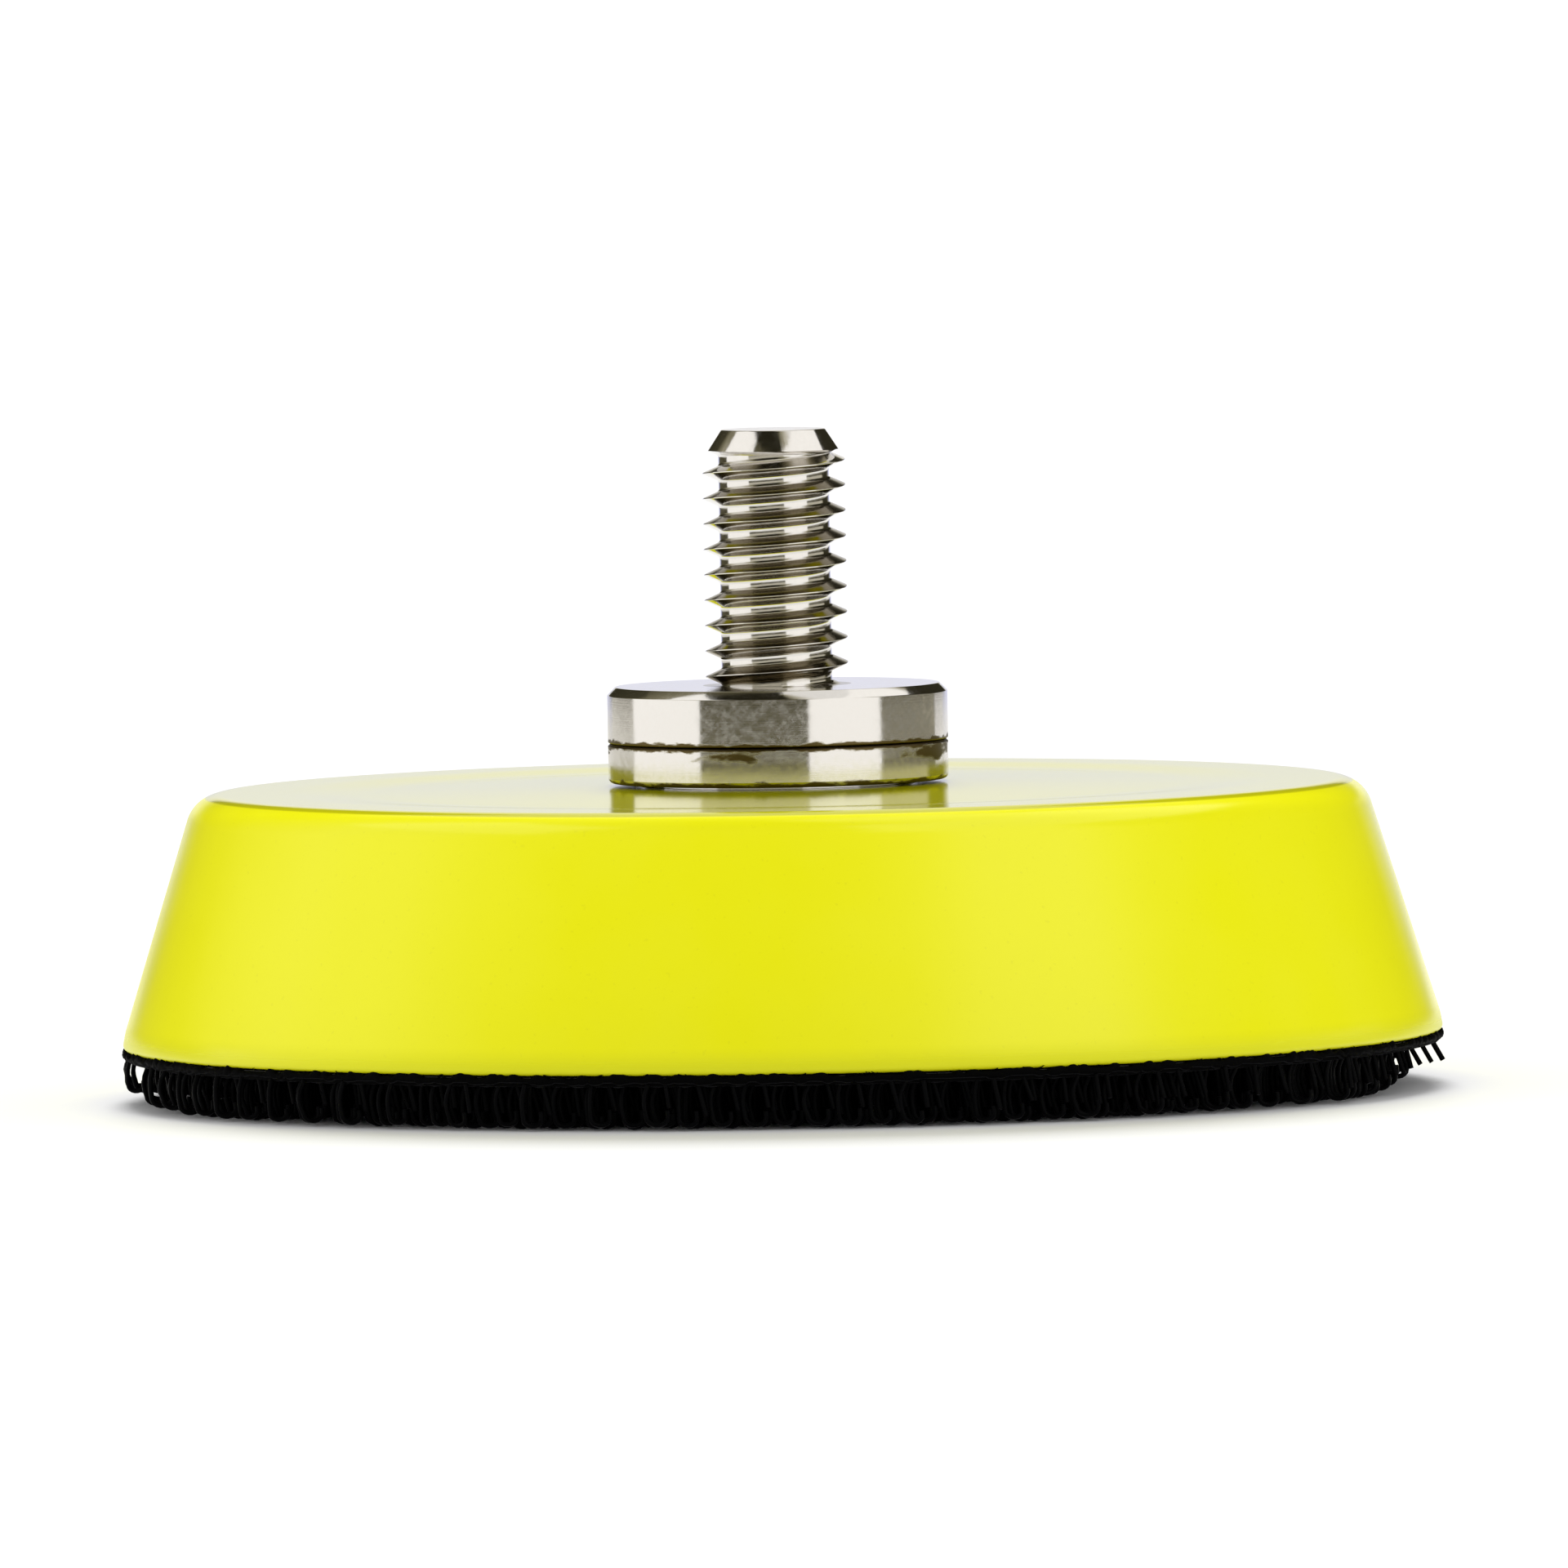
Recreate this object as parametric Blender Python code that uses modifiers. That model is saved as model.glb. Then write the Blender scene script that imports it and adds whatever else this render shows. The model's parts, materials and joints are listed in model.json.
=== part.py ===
"""Backing pad of a rotary polisher: a steel hub with a threaded stud, a polyurethane body and a hook face.

Lengths are in metres and +Z points along the stud. The origin is at the middle of the hook face, on which
the pad stands.
"""

import math

import bmesh
import bpy
from mathutils import Vector

MM = 0.001
INCH = 0.0254

# Stud: a 5/16 inch, 18 threads per inch, unified coarse thread.
THREAD_MAJOR_RADIUS = 5 / 16 * INCH / 2
THREAD_PITCH = INCH / 18
EXPOSED_THREAD_LENGTH = 14.2 * MM
TIP_CHAMFER_DEPTH = 1.66 * MM
TIP_FLAT_RADIUS = 2.88 * MM
BURIED_SHANK_LENGTH = 10.2 * MM
SHANK_END_CHAMFER = 0.6 * MM

# Hub: a collar on the stud, standing on the ring of the insert.
HUB_RADIUS = 9.45 * MM
COLLAR_HEIGHT = 2.9 * MM
RING_HEIGHT = 2.05 * MM
HUB_SEAM = 0.25 * MM
COLLAR_TOP_CHAMFER = 0.35 * MM
COLLAR_BOTTOM_CHAMFER = 0.15 * MM
RING_TOP_CHAMFER = 0.4 * MM
RING_BOTTOM_RADIUS = 0.45 * MM
NECK_RADIUS = 7.5 * MM
FLANGE_RADIUS = 15.0 * MM
FLANGE_THICKNESS = 1.8 * MM
BOSS_RADIUS = 6.6 * MM
BOSS_END_WALL = 1.3 * MM

# Body: a truncated cone with a rounded top edge, a narrow land at its foot and a shallow dished recess in its top.
BASE_RADIUS = 36.7 * MM
LAND_TOP_RADIUS = 36.55 * MM
LAND_HEIGHT = 0.9 * MM
SHOULDER_RADIUS = 32.45 * MM
BODY_HEIGHT = 14.1 * MM
SHOULDER_FILLET = 2.1 * MM
BASE_LIP_FILLET = 0.25 * MM
CROWN_RISE = 0.2 * MM
RECESS_RADIUS = 22.7 * MM
RECESS_DEPTH = 0.2 * MM
RECESS_SLOPE_WIDTH = 5.1 * MM
TOP_SKIN = 3.6 * MM

# Reinforcement: a laminate plate riveted under the insert's flange, keyed into the body.
PLATE_RADIUS = 28.0 * MM
PLATE_THICKNESS = 2.0 * MM
RIVET_COUNT = 6
RIVET_CIRCLE_RADIUS = 11.3 * MM
RIVET_RADIUS = 1.5 * MM
RIVET_HEAD_RADIUS = 2.5 * MM
RIVET_HEAD_HEIGHT = 1.0 * MM
RIVET_CROWN_RADIUS = 1.5 * MM
RIVET_CROWN_DROP = 0.2 * MM
RIVET_TAIL_RADIUS = 2.2 * MM
RIVET_TAIL_HEIGHT = 0.8 * MM
KEY_COUNT = 6
KEY_CIRCLE_RADIUS = 21.5 * MM
KEY_RADIUS = 3.0 * MM

# Face: adhesive, woven tape and its pile of hooks.
ADHESIVE_THICKNESS = 0.2 * MM
TAPE_THICKNESS = 0.5 * MM
PILE_HEIGHT = 2.05 * MM
BOND_GAP = 0.1 * MM
FACE_RADIUS = 36.4 * MM
PILE_FOOT_RADIUS = 35.2 * MM
PILE_FOOT_HEIGHT = 1.1 * MM

CLEARANCE = 0.3 * MM
SEAT_GAP = 0.2 * MM
OVERRUN = 1.0 * MM

FULL_TURN = 2 * math.pi
BODY_STEPS = 72
HUB_STEPS = 48
THREAD_STEPS = 24
SMALL_STEPS = 16
EDGE_SEGMENTS = 5
SHARP_ANGLE = math.radians(35)
WELD_DISTANCE = 0.001 * MM

# Heights worked out from the stack, from the hook face upwards.
TAPE_BOTTOM = PILE_HEIGHT + BOND_GAP
TAPE_TOP = TAPE_BOTTOM + TAPE_THICKNESS
ADHESIVE_BOTTOM = TAPE_TOP + BOND_GAP
ADHESIVE_TOP = ADHESIVE_BOTTOM + ADHESIVE_THICKNESS
BODY_BOTTOM = ADHESIVE_TOP + BOND_GAP
RIM_TOP = BODY_BOTTOM + BODY_HEIGHT
CROWN_TOP = RIM_TOP + CROWN_RISE
RING_BOTTOM = CROWN_TOP + SEAT_GAP
RING_TOP = RING_BOTTOM + RING_HEIGHT
COLLAR_BOTTOM = RING_TOP + HUB_SEAM
COLLAR_TOP = COLLAR_BOTTOM + COLLAR_HEIGHT
STUD_TOP = COLLAR_TOP + EXPOSED_THREAD_LENGTH
SHANK_BOTTOM = COLLAR_BOTTOM - BURIED_SHANK_LENGTH
FLANGE_TOP = CROWN_TOP - TOP_SKIN - CLEARANCE
FLANGE_BOTTOM = FLANGE_TOP - FLANGE_THICKNESS
PLATE_TOP = FLANGE_BOTTOM - CLEARANCE
PLATE_BOTTOM = PLATE_TOP - PLATE_THICKNESS
SOCKET_BOTTOM = SHANK_BOTTOM - CLEARANCE
BOSS_BOTTOM = SOCKET_BOTTOM - BOSS_END_WALL

MATERIALS = {
    "polished_steel": ((0.62, 0.62, 0.60, 1.0), 0.12, 1.0),
    "zinc_steel": ((0.55, 0.56, 0.57, 1.0), 0.35, 1.0),
    "glass_laminate": ((0.30, 0.33, 0.22, 1.0), 0.55, 0.0),
    "yellow_polyurethane": ((0.83, 0.80, 0.02, 1.0), 0.22, 0.0),
    "clear_adhesive": ((0.55, 0.50, 0.35, 1.0), 0.45, 0.0),
    "black_weave": ((0.012, 0.012, 0.013, 1.0), 0.75, 0.0),
    "black_nylon": ((0.015, 0.015, 0.016, 1.0), 0.45, 0.0),
}


def clear_scene():
    for obj in list(bpy.data.objects):
        bpy.data.objects.remove(obj, do_unlink=True)


def make_collection(name, hidden=False):
    collection = bpy.data.collections.new(name)
    collection.hide_render = hidden
    bpy.context.scene.collection.children.link(collection)
    return collection


def make_material(name):
    colour, roughness, metallic = MATERIALS[name]
    material = bpy.data.materials.new(name)
    material.use_nodes = True
    shader = material.node_tree.nodes["Principled BSDF"]
    shader.inputs["Base Color"].default_value = colour
    shader.inputs["Roughness"].default_value = roughness
    shader.inputs["Metallic"].default_value = metallic
    material.diffuse_color = colour
    return material


def rounded(before, corner, after, radius, segments=EDGE_SEGMENTS):
    """The points of the arc that rounds an outline's corner, from the side of `before` to that of `after`."""
    before, corner, after = Vector(before), Vector(corner), Vector(after)
    to_before = (before - corner).normalized()
    to_after = (after - corner).normalized()
    half_angle = to_before.angle(to_after) / 2
    centre = corner + (to_before + to_after).normalized() * radius / math.sin(half_angle)
    start = corner + to_before * radius / math.tan(half_angle) - centre
    end = corner + to_after * radius / math.tan(half_angle) - centre
    sweep = start.angle(end)
    points = []
    for index in range(segments + 1):
        share = index / segments
        weight_start = math.sin((1 - share) * sweep) / math.sin(sweep)
        weight_end = math.sin(share * sweep) / math.sin(sweep)
        points.append(tuple(centre + start * weight_start + end * weight_end))
    return points


def make_object(name, mesh, collection, material=None):
    obj = bpy.data.objects.new(name, mesh)
    collection.objects.link(obj)
    if material:
        mesh.materials.append(make_material(material))
    return obj


def add_screw(obj, steps, pitch=0.0, turns=1):
    screw = obj.modifiers.new("Screw", "SCREW")
    screw.axis = "Z"
    screw.angle = FULL_TURN
    screw.screw_offset = pitch
    screw.iterations = turns
    screw.steps = steps
    screw.render_steps = steps
    screw.use_merge_vertices = pitch == 0
    screw.merge_threshold = 0.0001
    return screw


def turned(name, outline, steps, collection, material=None, bored=False):
    """A turned solid. Its outline is (radius, height) pairs, running down the outer side; a bored one closes on itself."""
    points = [(radius, 0.0, height) for radius, height in outline]
    edges = [(index, index + 1) for index in range(len(points) - 1)]
    if bored:
        edges.append((len(points) - 1, 0))
    mesh = bpy.data.meshes.new(name)
    mesh.from_pydata(points, edges, [])
    obj = make_object(name, mesh, collection, material)
    add_screw(obj, steps)
    return bake(obj)


def bake(obj):
    """Replaces the object's mesh by the one its modifiers give, shaded smooth away from sharp edges."""
    bpy.context.view_layer.update()
    graph = bpy.context.evaluated_depsgraph_get()
    mesh = bpy.data.meshes.new_from_object(obj.evaluated_get(graph))
    obj.modifiers.clear()
    obj.data = mesh
    work = bmesh.new()
    work.from_mesh(mesh)
    bmesh.ops.remove_doubles(work, verts=work.verts, dist=WELD_DISTANCE)
    bmesh.ops.recalc_face_normals(work, faces=work.faces)
    work.to_mesh(mesh)
    work.free()
    mesh.shade_smooth()
    mesh.set_sharp_from_angle(angle=SHARP_ANGLE)
    return obj


def combine(obj, other, operation):
    """Cuts, joins or intersects the object with another one by an exact Boolean."""
    other.display_type = "WIRE"
    other.hide_render = True
    boolean = obj.modifiers.new(other.name, "BOOLEAN")
    boolean.operation = operation
    boolean.solver = "EXACT"
    boolean.object = other
    return bake(obj)


def posts(name, count, circle_radius, radius, bottom, top, collection):
    """Upright round posts in a ring, in one helper object."""
    work = bmesh.new()
    for index in range(count):
        angle = FULL_TURN * index / count
        made = bmesh.ops.create_cone(
            work,
            cap_ends=True,
            segments=SMALL_STEPS,
            radius1=radius,
            radius2=radius,
            depth=top - bottom,
        )
        place = (circle_radius * math.cos(angle), circle_radius * math.sin(angle), (top + bottom) / 2)
        bmesh.ops.translate(work, verts=made["verts"], vec=place)
    mesh = bpy.data.meshes.new(name)
    work.to_mesh(mesh)
    work.free()
    return make_object(name, mesh, collection)


def close_helix_ends(obj):
    """Closes a helical sheet with a fan from a point on the axis to each of its two open ends."""
    work = bmesh.new()
    work.from_mesh(obj.data)
    open_edges = [edge for edge in work.edges if edge.is_boundary]
    middle = sum(vert.co.z for vert in work.verts) / len(work.verts)
    for at_top in (False, True):
        ring = [edge for edge in open_edges if (edge.verts[0].co.z > middle) == at_top]
        heights = [vert.co.z for edge in ring for vert in edge.verts]
        hub = work.verts.new((0, 0, max(heights) if at_top else min(heights)))
        for edge in ring:
            work.faces.new((edge.verts[0], edge.verts[1], hub))
    bmesh.ops.recalc_face_normals(work, faces=work.faces)
    work.to_mesh(obj.data)
    work.free()


def helical_thread(name, bottom, top, collection):
    """A right-hand 60 degree thread as a closed helical body, with flats an eighth and a quarter of the pitch wide."""
    root_radius = THREAD_MAJOR_RADIUS - 5 / 8 * math.cos(math.radians(30)) * THREAD_PITCH
    crest_flat = THREAD_PITCH / 8
    root_flat = THREAD_PITCH / 4
    flank = (THREAD_PITCH - crest_flat - root_flat) / 2
    heights = [0, root_flat, root_flat + flank, root_flat + flank + crest_flat, THREAD_PITCH]
    radii = [root_radius, root_radius, THREAD_MAJOR_RADIUS, THREAD_MAJOR_RADIUS, root_radius]
    turns = math.ceil((top - bottom) / THREAD_PITCH) + 2
    points = [(radius, 0.0, bottom - THREAD_PITCH + height) for radius, height in zip(radii, heights)]
    edges = [(index, index + 1) for index in range(len(points) - 1)]
    mesh = bpy.data.meshes.new(name)
    mesh.from_pydata(points, edges, [])
    thread = make_object(name, mesh, collection)
    add_screw(thread, THREAD_STEPS, THREAD_PITCH, turns)
    bake(thread)
    close_helix_ends(thread)
    return thread


def threaded_stud(parts, cutters):
    """The stud: an exposed thread with a chamfered tip, an integral collar and a shank screwed into the insert."""
    crest = THREAD_MAJOR_RADIUS + CLEARANCE
    tip = [
        (0, STUD_TOP),
        (TIP_FLAT_RADIUS, STUD_TOP),
        (THREAD_MAJOR_RADIUS, STUD_TOP - TIP_CHAMFER_DEPTH),
        (crest, STUD_TOP - TIP_CHAMFER_DEPTH - (crest - THREAD_MAJOR_RADIUS)),
        (crest, COLLAR_TOP - OVERRUN),
        (0, COLLAR_TOP - OVERRUN),
    ]
    stud = turned("threaded_stud", tip, THREAD_STEPS, parts, "polished_steel")
    thread = helical_thread("thread_form", COLLAR_TOP - OVERRUN, STUD_TOP, cutters)
    combine(stud, thread, "INTERSECT")
    base = [
        (0, COLLAR_TOP),
        (HUB_RADIUS - COLLAR_TOP_CHAMFER, COLLAR_TOP),
        (HUB_RADIUS, COLLAR_TOP - COLLAR_TOP_CHAMFER),
        (HUB_RADIUS, COLLAR_BOTTOM + COLLAR_BOTTOM_CHAMFER),
        (HUB_RADIUS - COLLAR_BOTTOM_CHAMFER, COLLAR_BOTTOM),
        (THREAD_MAJOR_RADIUS, COLLAR_BOTTOM),
        (THREAD_MAJOR_RADIUS, SHANK_BOTTOM + SHANK_END_CHAMFER),
        (THREAD_MAJOR_RADIUS - SHANK_END_CHAMFER, SHANK_BOTTOM),
        (0, SHANK_BOTTOM),
    ]
    collar = turned("collar_and_shank", base, HUB_STEPS, cutters)
    combine(stud, collar, "UNION")


def rivet_holes(cutters):
    radius = RIVET_RADIUS + CLEARANCE
    bottom = PLATE_BOTTOM - OVERRUN
    top = FLANGE_TOP + OVERRUN
    return posts("rivet_holes", RIVET_COUNT, RIVET_CIRCLE_RADIUS, radius, bottom, top, cutters)


def hub_insert(parts, holes):
    """The insert: the ring on the body's top, a neck through the skin, a riveted flange and a blind threaded boss."""
    socket_radius = THREAD_MAJOR_RADIUS + CLEARANCE
    ring_foot = (HUB_RADIUS, RING_BOTTOM)
    ring_side = (HUB_RADIUS, RING_TOP - RING_TOP_CHAMFER)
    outline = [
        (0, SOCKET_BOTTOM),
        (socket_radius, SOCKET_BOTTOM),
        (socket_radius, RING_TOP),
        (HUB_RADIUS - RING_TOP_CHAMFER, RING_TOP),
        ring_side,
        *rounded(ring_side, ring_foot, (NECK_RADIUS, RING_BOTTOM), RING_BOTTOM_RADIUS, 3),
        (NECK_RADIUS, RING_BOTTOM),
        (NECK_RADIUS, FLANGE_TOP),
        (FLANGE_RADIUS, FLANGE_TOP),
        (FLANGE_RADIUS, FLANGE_BOTTOM),
        (BOSS_RADIUS, FLANGE_BOTTOM),
        (BOSS_RADIUS, BOSS_BOTTOM),
        (0, BOSS_BOTTOM),
    ]
    insert = turned("hub_insert", outline, HUB_STEPS, parts, "polished_steel")
    combine(insert, holes, "DIFFERENCE")


def reinforcement_plate(parts, cutters, holes):
    """A round laminate plate with a bore for the boss, rivet holes and holes that the body flows through."""
    bore = BOSS_RADIUS + CLEARANCE
    outline = [(bore, PLATE_TOP), (PLATE_RADIUS, PLATE_TOP), (PLATE_RADIUS, PLATE_BOTTOM), (bore, PLATE_BOTTOM)]
    plate = turned("reinforcement_plate", outline, HUB_STEPS, parts, "glass_laminate", bored=True)
    combine(plate, holes, "DIFFERENCE")
    bottom = PLATE_BOTTOM - OVERRUN
    top = PLATE_TOP + OVERRUN
    key_holes = posts("key_holes", KEY_COUNT, KEY_CIRCLE_RADIUS, KEY_RADIUS, bottom, top, cutters)
    combine(plate, key_holes, "DIFFERENCE")


def hub_rivets(parts):
    """Solid rivets with a domed head on the flange and a formed tail under the plate."""
    tail_top = PLATE_BOTTOM - BOND_GAP
    head_bottom = FLANGE_TOP + BOND_GAP
    head_top = head_bottom + RIVET_HEAD_HEIGHT
    outline = [
        (0, head_top),
        (RIVET_CROWN_RADIUS, head_top - RIVET_CROWN_DROP),
        (RIVET_HEAD_RADIUS, head_bottom),
        (RIVET_RADIUS, head_bottom),
        (RIVET_RADIUS, tail_top),
        (RIVET_TAIL_RADIUS, tail_top),
        (RIVET_TAIL_RADIUS, tail_top - RIVET_TAIL_HEIGHT),
        (0, tail_top - RIVET_TAIL_HEIGHT),
    ]
    for index in range(RIVET_COUNT):
        angle = FULL_TURN * index / RIVET_COUNT
        rivet = turned(f"hub_rivet_{index + 1}", outline, SMALL_STEPS, parts, "zinc_steel")
        rivet.location = (RIVET_CIRCLE_RADIUS * math.cos(angle), RIVET_CIRCLE_RADIUS * math.sin(angle), 0)


def pu_body(parts, cutters):
    """The moulded body, open only around the hub's neck, with a cavity that fits the insert, plate and rivets."""
    neck = NECK_RADIUS + CLEARANCE
    flange = FLANGE_RADIUS + CLEARANCE
    plate = PLATE_RADIUS + CLEARANCE
    boss = BOSS_RADIUS + CLEARANCE
    shoulder = (SHOULDER_RADIUS, RIM_TOP)
    land_top = (LAND_TOP_RADIUS, BODY_BOTTOM + LAND_HEIGHT)
    base = (BASE_RADIUS, BODY_BOTTOM)
    recess_floor = RIM_TOP - RECESS_DEPTH
    outline = [
        (0, BOSS_BOTTOM - CLEARANCE),
        (boss, BOSS_BOTTOM - CLEARANCE),
        (boss, PLATE_BOTTOM - CLEARANCE),
        (plate, PLATE_BOTTOM - CLEARANCE),
        (plate, PLATE_TOP + CLEARANCE),
        (flange, PLATE_TOP + CLEARANCE),
        (flange, FLANGE_TOP + CLEARANCE),
        (neck, FLANGE_TOP + CLEARANCE),
        (neck, CROWN_TOP),
        (HUB_RADIUS, CROWN_TOP),
        (RECESS_RADIUS, recess_floor),
        (RECESS_RADIUS + RECESS_SLOPE_WIDTH, RIM_TOP),
        *rounded((RECESS_RADIUS, RIM_TOP), shoulder, land_top, SHOULDER_FILLET),
        land_top,
        *rounded(land_top, base, (0, BODY_BOTTOM), BASE_LIP_FILLET, 2),
        (0, BODY_BOTTOM),
    ]
    body = turned("pu_body", outline, BODY_STEPS, parts, "yellow_polyurethane")
    pocket_radius = RIVET_HEAD_RADIUS + CLEARANCE
    pocket_bottom = PLATE_BOTTOM - BOND_GAP - RIVET_TAIL_HEIGHT - CLEARANCE
    pocket_top = FLANGE_TOP + BOND_GAP + RIVET_HEAD_HEIGHT + CLEARANCE
    pockets = posts(
        "rivet_pockets", RIVET_COUNT, RIVET_CIRCLE_RADIUS, pocket_radius, pocket_bottom, pocket_top, cutters
    )
    combine(body, pockets, "DIFFERENCE")
    key_radius = KEY_RADIUS - CLEARANCE
    key_bottom = PLATE_BOTTOM - OVERRUN
    key_top = PLATE_TOP + OVERRUN
    keys = posts("body_keys", KEY_COUNT, KEY_CIRCLE_RADIUS, key_radius, key_bottom, key_top, cutters)
    combine(body, keys, "UNION")


def disc(name, outline, parts, material):
    turned(name, [(0, outline[0][1]), *outline, (0, outline[-1][1])], BODY_STEPS, parts, material)


def hook_face(parts):
    """The bonded face: a film of adhesive, the tape's woven base and the envelope of its hooks."""
    film = [(FACE_RADIUS, ADHESIVE_TOP), (FACE_RADIUS, ADHESIVE_BOTTOM)]
    disc("adhesive_disc", film, parts, "clear_adhesive")
    weave = [(FACE_RADIUS, TAPE_TOP), (FACE_RADIUS, TAPE_BOTTOM)]
    disc("hook_tape", weave, parts, "black_weave")
    pile = [(FACE_RADIUS, PILE_HEIGHT), (FACE_RADIUS, PILE_FOOT_HEIGHT), (PILE_FOOT_RADIUS, 0)]
    disc("hook_pile", pile, parts, "black_nylon")


def main():
    clear_scene()
    parts = make_collection("polisher_backing_pad")
    cutters = make_collection("cutters", hidden=True)
    threaded_stud(parts, cutters)
    holes = rivet_holes(cutters)
    hub_insert(parts, holes)
    reinforcement_plate(parts, cutters, holes)
    hub_rivets(parts)
    pu_body(parts, cutters)
    hook_face(parts)


main()
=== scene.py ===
"""Looks of the polisher backing pad: polished steel hub, glossy yellow body, woven tape and nylon hooks."""

import json
import math

import bmesh
import bpy
import numpy as np
from mathutils import Matrix, Vector


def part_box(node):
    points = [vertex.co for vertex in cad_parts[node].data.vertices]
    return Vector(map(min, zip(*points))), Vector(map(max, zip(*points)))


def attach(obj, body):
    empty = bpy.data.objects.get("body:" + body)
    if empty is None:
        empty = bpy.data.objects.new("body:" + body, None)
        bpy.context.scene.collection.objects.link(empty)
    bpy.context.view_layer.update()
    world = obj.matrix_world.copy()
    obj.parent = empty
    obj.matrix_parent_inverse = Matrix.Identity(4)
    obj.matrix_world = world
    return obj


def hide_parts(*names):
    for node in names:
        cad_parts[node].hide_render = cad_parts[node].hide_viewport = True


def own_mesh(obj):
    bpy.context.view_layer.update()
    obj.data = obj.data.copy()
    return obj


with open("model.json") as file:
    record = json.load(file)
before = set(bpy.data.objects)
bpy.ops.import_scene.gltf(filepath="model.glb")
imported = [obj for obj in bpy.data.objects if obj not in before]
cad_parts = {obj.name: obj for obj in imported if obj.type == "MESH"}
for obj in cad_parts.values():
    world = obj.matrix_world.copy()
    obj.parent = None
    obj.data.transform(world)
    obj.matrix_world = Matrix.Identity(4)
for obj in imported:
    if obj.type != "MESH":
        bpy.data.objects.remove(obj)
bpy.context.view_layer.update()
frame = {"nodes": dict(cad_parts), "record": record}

MM = 0.001
INCH = 0.0254
FULL_TURN = 2 * math.pi

# Heights and radii that the frame gives.
BODY_LOW, BODY_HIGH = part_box("pu_body")
STUD_LOW, STUD_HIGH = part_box("threaded_stud")
INSERT_LOW, INSERT_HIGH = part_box("hub_insert")
PLATE_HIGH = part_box("reinforcement_plate")[1]
RIVET_LOW, RIVET_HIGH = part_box("hub_rivet_1")
TAPE_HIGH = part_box("hook_tape")[1]
MOUNT_HEIGHTS = {mount["name"]: mount["pos_m"][2] for mount in frame["record"]["mounts"]}
BODY_BOTTOM = BODY_LOW[2]
CROWN_TOP = BODY_HIGH[2]
HUB_RADIUS = STUD_HIGH[0]
STUD_TOP = STUD_HIGH[2]
COLLAR_TOP = MOUNT_HEIGHTS["collar_seat"]
SHANK_BOTTOM = STUD_LOW[2]
RING_TOP = INSERT_HIGH[2]
BOSS_BOTTOM = INSERT_LOW[2]
FLANGE_RADIUS = INSERT_HIGH[0]
PLATE_TOP = PLATE_HIGH[2]
PLATE_RADIUS = PLATE_HIGH[0]
RIVET_CIRCLE_RADIUS = (RIVET_LOW[0] + RIVET_HIGH[0]) / 2
TAPE_RADIUS = TAPE_HIGH[0]
TAPE_TOP = TAPE_HIGH[2]

# Clear gaps: round a piece that fits inside another, and where two are bonded.
CLEARANCE = 0.3 * MM
BOND_GAP = 0.1 * MM

# Thread: 5/16 inch, 18 turns per inch. Crest and root are the flats' shares of the pitch.
THREAD_PITCH = INCH / 18
THREAD_RADIUS = 5 / 16 * INCH / 2
THREAD_CREST = 0.04
THREAD_ROOT = 0.4
THREAD_DEPTH = 0.9 * MM
ROOT_FILLET = 0.2 * MM
CREST_FILLET = 0.02 * MM
# How far under the tip a crest passes at -X.
LEFT_CREST_DEPTH = 8.07 * MM
TIP_FLAT_RADIUS = 2.88 * MM
TIP_CHAMFER = 1.66 * MM
TIP_EDGE_FILLET = 0.12 * MM

# Collar and shank, which are turned with the stud, and the insert.
HUB_SEAM = 0.05 * MM
COLLAR_SEAT = RING_TOP + HUB_SEAM
COLLAR_CHAMFER = 0.45 * MM
SEAM_CHAMFER = 0.06 * MM
EDGE_BREAK = 0.06 * MM
SHANK_CHAMFER = 0.6 * MM
RING_TOP_CHAMFER = 0.12 * MM
RING_FOOT_RADIUS = 0.32 * MM
NECK_RADIUS = 7.5 * MM
BOSS_RADIUS = 6.6 * MM
BOSS_END_WALL = 1.3 * MM
FLANGE_TOP = RIVET_HIGH[2] - 1.1 * MM
FLANGE_BOTTOM = PLATE_TOP + CLEARANCE
RIVET_COUNT = 6
RIVET_HOLE_RADIUS = 1.8 * MM

# Body profile.
RIM = CROWN_TOP - 0.2 * MM
CROWN_RADIUS = 9.6 * MM
CROWN_RISE = 0.25 * MM
RING_BOTTOM = RIM + CROWN_RISE + 0.01 * MM
DISH_RADIUS = 22.7 * MM
DISH_DROP = 0.15 * MM
DISH_EDGE_RADIUS = 27.8 * MM
SHOULDER_RADIUS = 32.45 * MM
SHOULDER_FILLET = 2.0 * MM
LAND_TOP_RADIUS = 36.55 * MM
LAND_HEIGHT = 0.9 * MM
LAND_FILLET = 5.0 * MM
BASE_RADIUS = 36.7 * MM
LIP_FILLET = 0.25 * MM

# Tape: its weave, the bead along its cut edge and the fibres that fray from it.
WEAVE_BOTTOM = TAPE_TOP - 0.28 * MM
YARN_WIDTH = 0.72 * MM
YARN_HEIGHT = 0.06 * MM
WEAVE_EDGE = 0.1 * MM
BEAD_TOP = BODY_BOTTOM - 0.12 * MM
BEAD_BOTTOM = WEAVE_BOTTOM + 0.28 * MM
BEAD_RADIUS = BASE_RADIUS - 0.02 * MM
BEAD_HALF_WIDTH = 0.3 * MM
BEAD_SWELL = 0.084 * MM
# Bumps of the bead: least and greatest half width, greatest height, and number.
BEAD_BUMPS = ((0.24 * MM, 0.42 * MM, 0.34 * MM, 330), (0.6 * MM, 1.4 * MM, 0.12 * MM, 90))
# Steps round the bead, and by how many its lower bumps stand off from the upper ones.
BEAD_STEPS = 1800
LOWER_BUMP_SHIFT = 37
FIBRE_COUNT = 360
FIBRE_LENGTHS = (0.2 * MM, 0.55 * MM)
FIBRE_RADII = (0.02 * MM, 0.035 * MM)
FIBRE_LIFT = 0.35 * MM

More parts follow.
